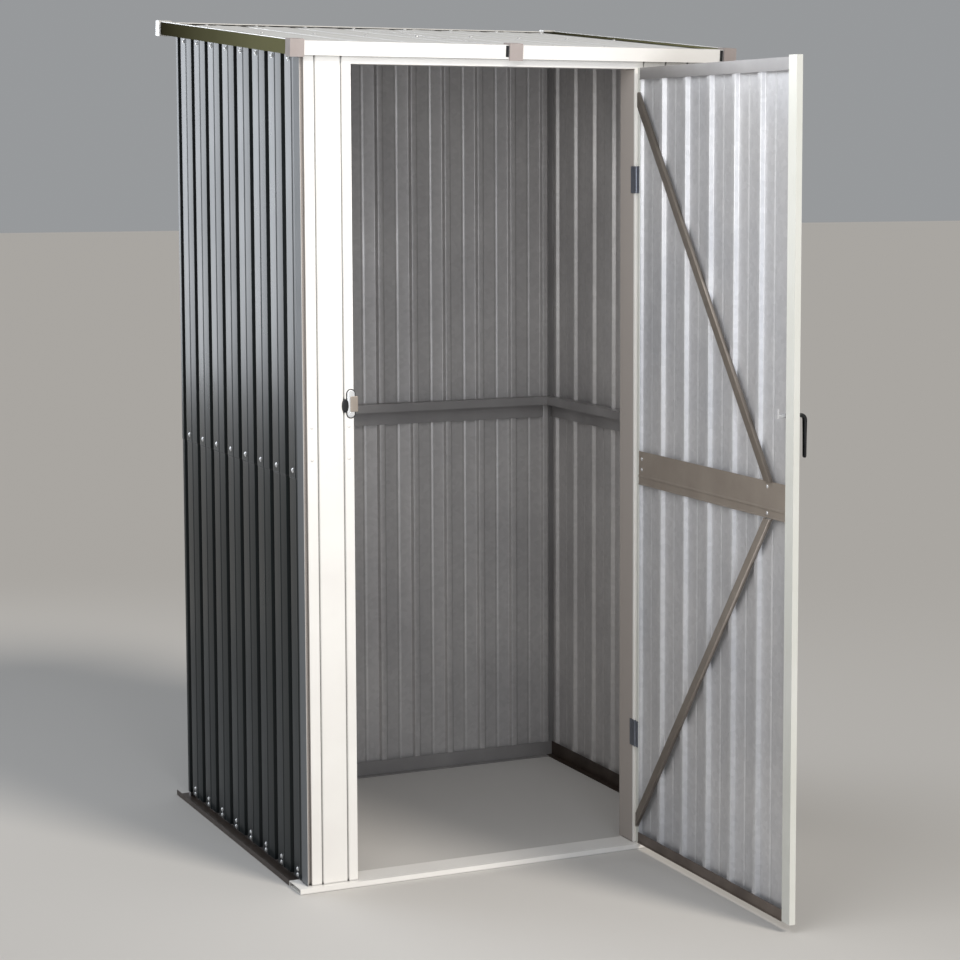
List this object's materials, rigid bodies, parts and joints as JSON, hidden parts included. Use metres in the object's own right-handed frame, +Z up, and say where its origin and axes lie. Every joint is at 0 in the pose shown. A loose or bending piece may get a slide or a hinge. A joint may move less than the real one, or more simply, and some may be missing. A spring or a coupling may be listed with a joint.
{
  "type": "metal storage shed",
  "caption": "Small upright garden shed of ribbed sheet steel with a single-slope roof and a side-hung door that stands open.",
  "frame": {"origin": "ground level under the middle of the front sill", "axes": "+X to the right seen from the front, +Y to the back, +Z up"},
  "size_m": [0.886, 1.3983, 1.5971],
  "materials": {
    "wall_sheet": "ribbed galvanised sheet, anthracite coat outside, bare zinc inside",
    "roof_sheet": "ribbed galvanised sheet, pale grey coat",
    "white_trim": "off-white coated steel",
    "galvanised_frame": "bare galvanised steel",
    "grey_plastic": "moulded warm grey plastic",
    "black_plastic": "moulded black plastic"
  },
  "bodies": {
    "shed": {"back_post_left": "galvanised_frame", "back_post_right": "galvanised_frame", "back_wall_lower": "wall_sheet", "back_wall_upper": "wall_sheet", "base_rail_back": "galvanised_frame", "base_rail_left": "galvanised_frame", "base_rail_right": "galvanised_frame", "fascia_back": "white_trim", "fascia_front": "white_trim", "fascia_joiner": "grey_plastic", "fascia_left": "white_trim", "fascia_right": "white_trim", "girt_back": "galvanised_frame", "girt_left": "galvanised_frame", "girt_right": "galvanised_frame", "hinge_frame_lower": "galvanised_frame", "hinge_frame_upper": "galvanised_frame", "jamb_left": "white_trim", "jamb_right": "white_trim", "latch_keeper": "galvanised_frame", "left_wall_lower": "wall_sheet", "left_wall_upper": "wall_sheet", "lintel": "white_trim", "right_wall_lower": "wall_sheet", "right_wall_upper": "wall_sheet", "roof_cap_back_left": "grey_plastic", "roof_cap_back_right": "grey_plastic", "roof_cap_front_left": "grey_plastic", "roof_cap_front_right": "grey_plastic", "roof_purlin": "galvanised_frame", "roof_sheet_left": "roof_sheet", "roof_sheet_right": "roof_sheet", "sill": "white_trim", "top_rail_back": "galvanised_frame", "top_rail_left": "galvanised_frame", "top_rail_right": "galvanised_frame"},
    "door": {"door_bottom_rail": "galvanised_frame", "door_brace_lower": "galvanised_frame", "door_brace_upper": "galvanised_frame", "door_free_stile": "galvanised_frame", "door_hinge_stile": "galvanised_frame", "door_middle_rail": "galvanised_frame", "door_sheet": "wall_sheet", "door_top_rail": "galvanised_frame", "handle_plate": "black_plastic", "hinge_door_lower": "galvanised_frame", "hinge_door_upper": "galvanised_frame"},
    "handle": {"handle_lever": "black_plastic", "latch_tongue": "galvanised_frame"}
  },
  "joints": [
    {"name": "door_swing", "type": "hinge", "parent": "shed", "child": "door", "pos_m": [0.237, -0.026, 0], "axis": [0, 0, 1], "range_deg": [-90, 12]},
    {"name": "handle_turn", "type": "hinge", "parent": "door", "child": "handle", "pos_m": [0.2485, -0.571, 0.886], "axis": [1, 0, 0], "range_deg": [0, 90]}
  ]
}
